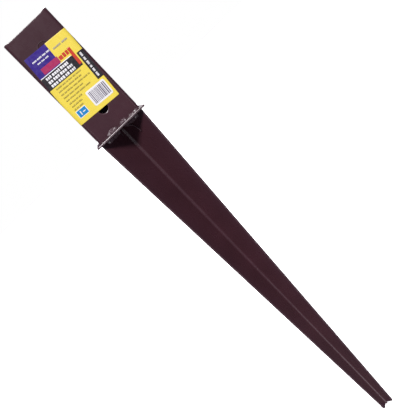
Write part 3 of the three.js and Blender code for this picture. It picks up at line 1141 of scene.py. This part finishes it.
def product_label():
    half_width, half_height = LABEL_WIDTH / 2, LABEL_HEIGHT / 2
    sheet = patch(-half_width, half_width, -half_height, half_height, 0, VINYL)
    piece = finished("product_label", sheet, "anchor", inks["yellow"])
    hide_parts("product_label")
    keep_flats_flat(piece)
    printed = {}
    for colour, layer, corner, boxes in label_layout():
        floor = VINYL + INK_GAP + (layer - 1) * INK_LAYER
        shells = [patch(*sides, floor, INK_THICKNESS, corner * MM) for sides in boxes]
        printed.setdefault(colour, []).extend(shells)
    for colour, shells in printed.items():
        piece = finished(f"label_print_{colour}", joined(*shells), "anchor", inks[colour])
        keep_flats_flat(piece)


# ---- build ----

socket_sleeve()
base_plate()
spike_blade("front_blade", on_front_blade)
spike_blade("rear_blade", on_rear_blade)
front_and_side_welds()
blade_welds()
spine_welds()
tip_weld()
for clamp_level in bolt_axes:
    coach_bolt(clamp_level)
    flat_washer(clamp_level)
    hex_nut(clamp_level)
product_label()


# ---- stage, light and camera ----

FLOOR_HALF = 14.0
FLOOR_DROP = 0.2 * MM             # below the tip
FLOOR_GREYS = (0.88, 0.9)


def floor_plane():
    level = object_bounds()[0].z - FLOOR_DROP
    mesh = bpy.data.meshes.new("floor")
    mesh.from_pydata([(*corner, level) for corner in square(FLOOR_HALF)], [], [(0, 1, 2, 3)])
    finish = Finish("floor_matt", Metallic=0.0, Roughness=0.9)
    darker, lighter = ((grey,) * 3 for grey in FLOOR_GREYS)
    finish.colour(finish.ramp(finish.noise(0.4, detail=2), (0.3, darker), (0.7, lighter)))
    mesh.materials.append(finish.material)
    floor = bpy.data.objects.new("floor", mesh)
    bpy.context.scene.collection.objects.link(floor)
    floor.visible_diffuse = False
    floor.visible_glossy = False
    floor.visible_shadow = False


def sun(name, elevation, azimuth, strength, softness):
    """A distant soft light. Azimuth 0 shines from the front, 90 from +X. Angles are in degrees."""
    lamp = bpy.data.lights.new(name, "SUN")
    lamp.energy = strength
    lamp.angle = math.radians(softness)
    up, round_z = math.radians(elevation), math.radians(azimuth)
    level = math.cos(up)
    lit_from = Vector((level * math.sin(round_z), -level * math.cos(round_z), math.sin(up)))
    light = bpy.data.objects.new(name, lamp)
    light.rotation_mode = "QUATERNION"
    light.rotation_quaternion = lit_from.to_track_quat("Z", "Y")
    bpy.context.scene.collection.objects.link(light)


DIM_LIGHT = (0.95, 0.88, 1.25)
DIM_STRENGTH = 0.14


def world():
    """A white background that lights the object only dimly, as a white cove behind it would."""
    sky = bpy.data.worlds.new("studio")
    sky.use_nodes = True
    nodes, links = sky.node_tree.nodes, sky.node_tree.links
    dim = nodes["Background"]
    dim.inputs["Color"].default_value = (*DIM_LIGHT, 1)
    dim.inputs["Strength"].default_value = DIM_STRENGTH
    white = nodes.new("ShaderNodeBackground")
    white.inputs["Color"].default_value = (1, 1, 1, 1)
    white.inputs["Strength"].default_value = 1.0
    seen = nodes.new("ShaderNodeLightPath")
    either = nodes.new("ShaderNodeMixShader")
    links.new(seen.outputs["Is Camera Ray"], either.inputs["Fac"])
    links.new(dim.outputs[0], either.inputs[1])
    links.new(white.outputs[0], either.inputs[2])
    links.new(either.outputs[0], nodes["World Output"].inputs["Surface"])
    bpy.context.scene.world = sky


CAMERA_PLACE = Vector((-10, -597, 24)) * MM
CAMERA_HEADING = 1.07             # degrees to the right of straight ahead
CAMERA_PITCH = -14.17
CAMERA_ROLL = 43.99
FOCAL_LENGTH = 47.97              # on a 36 mm sensor
NEAREST = 10 * MM                 # that the camera sees


def camera():
    data = bpy.data.cameras.new("camera")
    data.lens = FOCAL_LENGTH
    data.clip_start = NEAREST
    eye = bpy.data.objects.new("camera", data)
    turn = Matrix.Rotation(math.radians(-CAMERA_HEADING), 4, "Z")
    tilt = Matrix.Rotation(math.radians(90 + CAMERA_PITCH), 4, "X")
    roll = Matrix.Rotation(math.radians(-CAMERA_ROLL), 4, "Z")
    eye.matrix_world = Matrix.Translation(CAMERA_PLACE) @ turn @ tilt @ roll
    bpy.context.scene.collection.objects.link(eye)
    bpy.context.scene.camera = eye


LIGHTS = {                        # elevation, azimuth, strength, softness
    "key": (41, -5, 6.0, 11),
    "low_fill": (-43, 0, 0.6, 30),
    "left_edge_light": (-3, -30, 0.085, 14),
    "right_edge_light": (-3, 30, 0.085, 14),
    "back": (35, 165, 4.0, 20),
    "left_side": (40, -112, 2.2, 20),
    "right_side": (40, 112, 2.2, 20),
}

floor_plane()
for light_name, light in LIGHTS.items():
    sun(light_name, *light)
world()
camera()
bpy.context.scene.view_settings.view_transform = "Standard"
